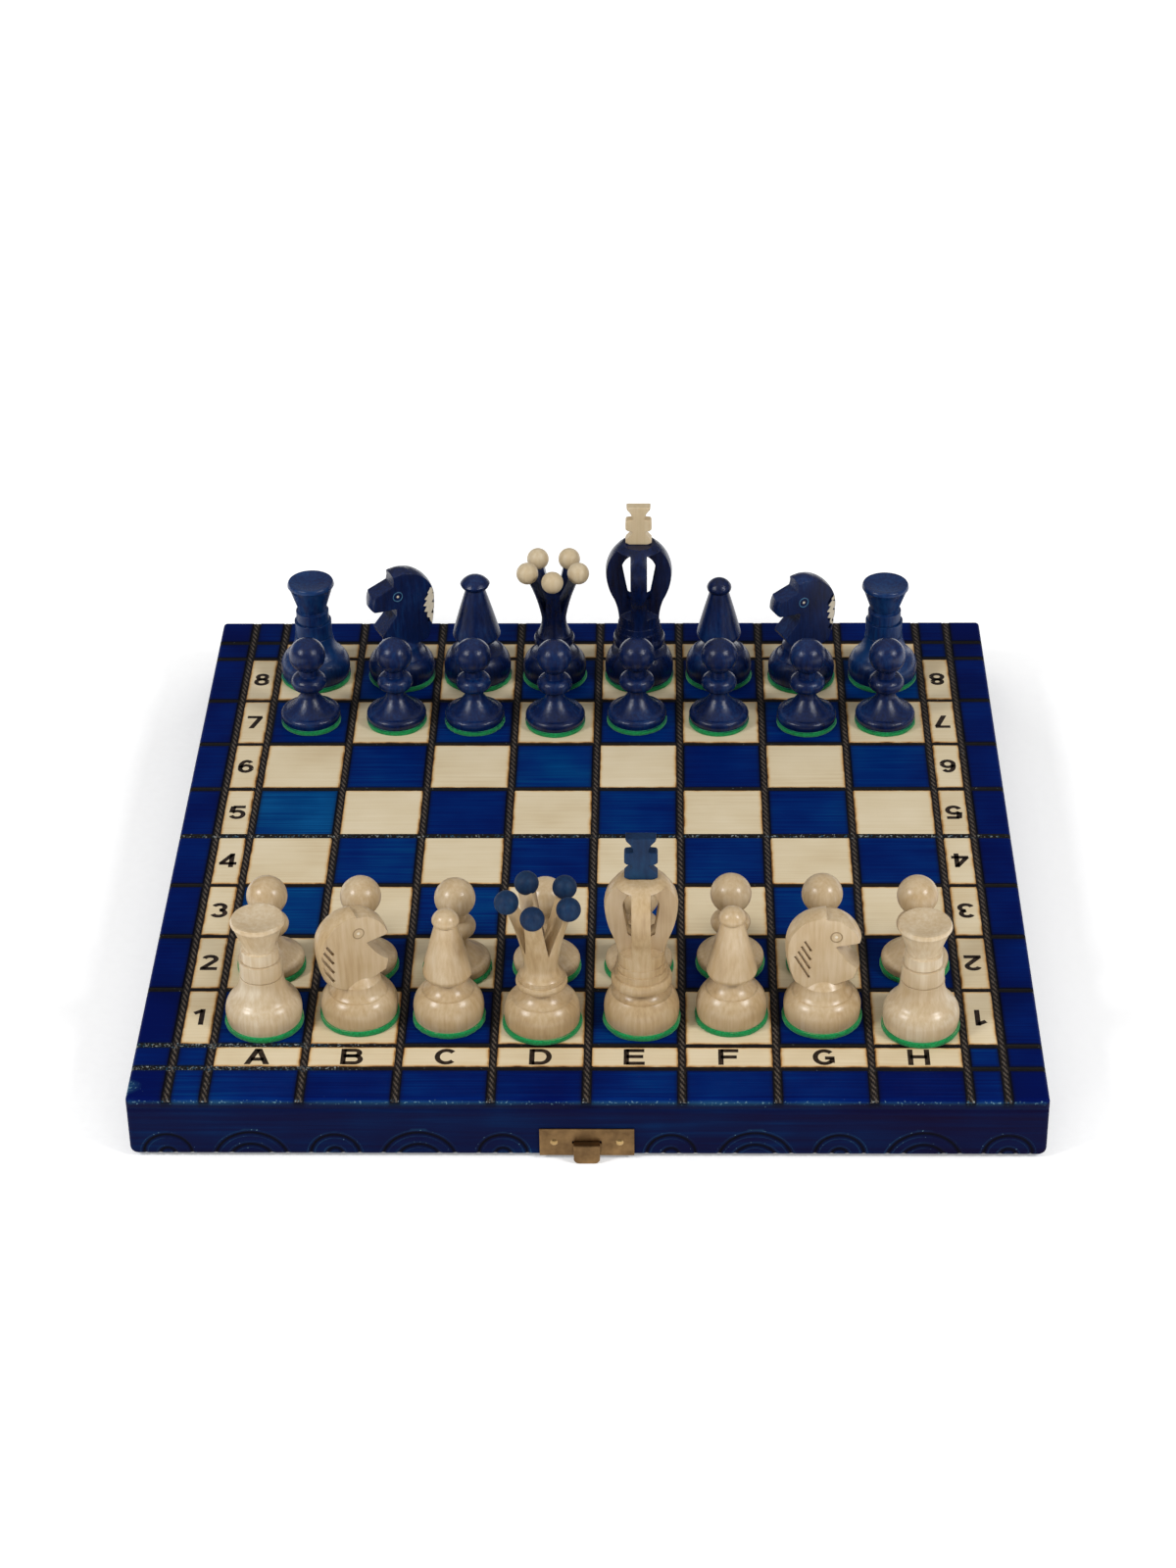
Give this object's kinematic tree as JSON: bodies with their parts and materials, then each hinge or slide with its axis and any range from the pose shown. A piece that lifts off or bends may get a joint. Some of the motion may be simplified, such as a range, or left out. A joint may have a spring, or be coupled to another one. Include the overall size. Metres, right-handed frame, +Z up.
{
  "type": "folding chess board",
  "caption": "Hinged wooden chess box lying open as a board, with burnt grooves, coordinates, a brass spring latch and turned men standing on their felts.",
  "frame": {"origin": "on the table under the fold line, in the middle of the board's width", "axes": "+X along the letters from A to H, +Y from white's side to blue's side, +Z up off the playing surface"},
  "size_m": [0.3, 0.3113, 0.099],
  "materials": {
    "checked_panel": "maple veneer, blue stain on alternate squares, satin lacquer",
    "blue_wall": "dark blue stain, satin lacquer",
    "white_wood": "natural, satin lacquer",
    "blue_wood": "dark blue stain, satin lacquer",
    "brass": "rolled sheet, lightly dulled",
    "steel": "drawn wire"
  },
  "bodies": {
    "front_half": {"front_panel": "checked_panel", "front_end_wall": "blue_wall", "front_left_wall": "blue_wall", "front_right_wall": "blue_wall", "front_spine_wall": "blue_wall", "hinge_front_leaves": "brass", "hinge_pins": "steel", "hinge_front_nails": "brass", "latch_plate": "brass", "latch_nails": "brass"},
    "back_half": {"back_panel": "checked_panel", "back_end_wall": "blue_wall", "back_left_wall": "blue_wall", "back_right_wall": "blue_wall", "back_spine_wall": "blue_wall", "hinge_back_leaves": "brass", "hinge_back_nails": "brass", "strike_plate": "brass", "strike_nails": "brass"},
    "catch": {"latch_tongue": "brass"},
    "white_rook_a_man": {"white_rook_a": "white_wood"},
    "white_knight_b_man": {"white_knight_b": "white_wood"},
    "white_bishop_c_man": {"white_bishop_c": "white_wood"},
    "white_queen_man": {"white_queen": "white_wood", "white_queen_balls": "blue_wood"},
    "white_king_man": {"white_king": "white_wood", "white_king_cross": "blue_wood"},
    "white_bishop_f_man": {"white_bishop_f": "white_wood"},
    "white_knight_g_man": {"white_knight_g": "white_wood"},
    "white_rook_h_man": {"white_rook_h": "white_wood"},
    "white_pawn_a_man": {"white_pawn_a": "white_wood"},
    "white_pawn_b_man": {"white_pawn_b": "white_wood"},
    "white_pawn_c_man": {"white_pawn_c": "white_wood"},
    "white_pawn_d_man": {"white_pawn_d": "white_wood"},
    "white_pawn_e_man": {"white_pawn_e": "white_wood"},
    "white_pawn_f_man": {"white_pawn_f": "white_wood"},
    "white_pawn_g_man": {"white_pawn_g": "white_wood"},
    "white_pawn_h_man": {"white_pawn_h": "white_wood"},
    "blue_rook_a_man": {"blue_rook_a": "blue_wood"},
    "blue_knight_b_man": {"blue_knight_b": "blue_wood"},
    "blue_bishop_c_man": {"blue_bishop_c": "blue_wood"},
    "blue_queen_man": {"blue_queen": "blue_wood", "blue_queen_balls": "white_wood"},
    "blue_king_man": {"blue_king": "blue_wood", "blue_king_cross": "white_wood"},
    "blue_bishop_f_man": {"blue_bishop_f": "blue_wood"},
    "blue_knight_g_man": {"blue_knight_g": "blue_wood"},
    "blue_rook_h_man": {"blue_rook_h": "blue_wood"},
    "blue_pawn_a_man": {"blue_pawn_a": "blue_wood"},
    "blue_pawn_b_man": {"blue_pawn_b": "blue_wood"},
    "blue_pawn_c_man": {"blue_pawn_c": "blue_wood"},
    "blue_pawn_d_man": {"blue_pawn_d": "blue_wood"},
    "blue_pawn_e_man": {"blue_pawn_e": "blue_wood"},
    "blue_pawn_f_man": {"blue_pawn_f": "blue_wood"},
    "blue_pawn_g_man": {"blue_pawn_g": "blue_wood"},
    "blue_pawn_h_man": {"blue_pawn_h": "blue_wood"}
  },
  "joints": [
    {"name": "board_fold", "type": "hinge", "parent": "front_half", "child": "back_half", "pos_m": [0, 0, 0.0012], "axis": [-1, 0, 0], "range_deg": [0, 180]},
    {"name": "catch_flex", "type": "hinge", "parent": "front_half", "child": "catch", "pos_m": [0, -0.1533, 0.0069], "axis": [-1, 0, 0], "range_deg": [0, 12], "stiffness_Nm_per_rad": 0.02},
    {"name": "lift_white_rook_a", "type": "slide", "parent": "front_half", "child": "white_rook_a_man", "axis": [0, 0, 1], "range_m": [0, 0.08]},
    {"name": "lift_white_knight_b", "type": "slide", "parent": "front_half", "child": "white_knight_b_man", "axis": [0, 0, 1], "range_m": [0, 0.08]},
    {"name": "lift_white_bishop_c", "type": "slide", "parent": "front_half", "child": "white_bishop_c_man", "axis": [0, 0, 1], "range_m": [0, 0.08]},
    {"name": "lift_white_queen", "type": "slide", "parent": "front_half", "child": "white_queen_man", "axis": [0, 0, 1], "range_m": [0, 0.08]},
    {"name": "lift_white_king", "type": "slide", "parent": "front_half", "child": "white_king_man", "axis": [0, 0, 1], "range_m": [0, 0.08]},
    {"name": "lift_white_bishop_f", "type": "slide", "parent": "front_half", "child": "white_bishop_f_man", "axis": [0, 0, 1], "range_m": [0, 0.08]},
    {"name": "lift_white_knight_g", "type": "slide", "parent": "front_half", "child": "white_knight_g_man", "axis": [0, 0, 1], "range_m": [0, 0.08]},
    {"name": "lift_white_rook_h", "type": "slide", "parent": "front_half", "child": "white_rook_h_man", "axis": [0, 0, 1], "range_m": [0, 0.08]},
    {"name": "lift_white_pawn_a", "type": "slide", "parent": "front_half", "child": "white_pawn_a_man", "axis": [0, 0, 1], "range_m": [0, 0.08]},
    {"name": "lift_white_pawn_b", "type": "slide", "parent": "front_half", "child": "white_pawn_b_man", "axis": [0, 0, 1], "range_m": [0, 0.08]},
    {"name": "lift_white_pawn_c", "type": "slide", "parent": "front_half", "child": "white_pawn_c_man", "axis": [0, 0, 1], "range_m": [0, 0.08]},
    {"name": "lift_white_pawn_d", "type": "slide", "parent": "front_half", "child": "white_pawn_d_man", "axis": [0, 0, 1], "range_m": [0, 0.08]},
    {"name": "lift_white_pawn_e", "type": "slide", "parent": "front_half", "child": "white_pawn_e_man", "axis": [0, 0, 1], "range_m": [0, 0.08]},
    {"name": "lift_white_pawn_f", "type": "slide", "parent": "front_half", "child": "white_pawn_f_man", "axis": [0, 0, 1], "range_m": [0, 0.08]},
    {"name": "lift_white_pawn_g", "type": "slide", "parent": "front_half", "child": "white_pawn_g_man", "axis": [0, 0, 1], "range_m": [0, 0.08]},
    {"name": "lift_white_pawn_h", "type": "slide", "parent": "front_half", "child": "white_pawn_h_man", "axis": [0, 0, 1], "range_m": [0, 0.08]},
    {"name": "lift_blue_rook_a", "type": "slide", "parent": "back_half", "child": "blue_rook_a_man", "axis": [0, 0, 1], "range_m": [0, 0.08]},
    {"name": "lift_blue_knight_b", "type": "slide", "parent": "back_half", "child": "blue_knight_b_man", "axis": [0, 0, 1], "range_m": [0, 0.08]},
    {"name": "lift_blue_bishop_c", "type": "slide", "parent": "back_half", "child": "blue_bishop_c_man", "axis": [0, 0, 1], "range_m": [0, 0.08]},
    {"name": "lift_blue_queen", "type": "slide", "parent": "back_half", "child": "blue_queen_man", "axis": [0, 0, 1], "range_m": [0, 0.08]},
    {"name": "lift_blue_king", "type": "slide", "parent": "back_half", "child": "blue_king_man", "axis": [0, 0, 1], "range_m": [0, 0.08]},
    {"name": "lift_blue_bishop_f", "type": "slide", "parent": "back_half", "child": "blue_bishop_f_man", "axis": [0, 0, 1], "range_m": [0, 0.08]},
    {"name": "lift_blue_knight_g", "type": "slide", "parent": "back_half", "child": "blue_knight_g_man", "axis": [0, 0, 1], "range_m": [0, 0.08]},
    {"name": "lift_blue_rook_h", "type": "slide", "parent": "back_half", "child": "blue_rook_h_man", "axis": [0, 0, 1], "range_m": [0, 0.08]},
    {"name": "lift_blue_pawn_a", "type": "slide", "parent": "back_half", "child": "blue_pawn_a_man", "axis": [0, 0, 1], "range_m": [0, 0.08]},
    {"name": "lift_blue_pawn_b", "type": "slide", "parent": "back_half", "child": "blue_pawn_b_man", "axis": [0, 0, 1], "range_m": [0, 0.08]},
    {"name": "lift_blue_pawn_c", "type": "slide", "parent": "back_half", "child": "blue_pawn_c_man", "axis": [0, 0, 1], "range_m": [0, 0.08]},
    {"name": "lift_blue_pawn_d", "type": "slide", "parent": "back_half", "child": "blue_pawn_d_man", "axis": [0, 0, 1], "range_m": [0, 0.08]},
    {"name": "lift_blue_pawn_e", "type": "slide", "parent": "back_half", "child": "blue_pawn_e_man", "axis": [0, 0, 1], "range_m": [0, 0.08]},
    {"name": "lift_blue_pawn_f", "type": "slide", "parent": "back_half", "child": "blue_pawn_f_man", "axis": [0, 0, 1], "range_m": [0, 0.08]},
    {"name": "lift_blue_pawn_g", "type": "slide", "parent": "back_half", "child": "blue_pawn_g_man", "axis": [0, 0, 1], "range_m": [0, 0.08]},
    {"name": "lift_blue_pawn_h", "type": "slide", "parent": "back_half", "child": "blue_pawn_h_man", "axis": [0, 0, 1], "range_m": [0, 0.08]}
  ]
}
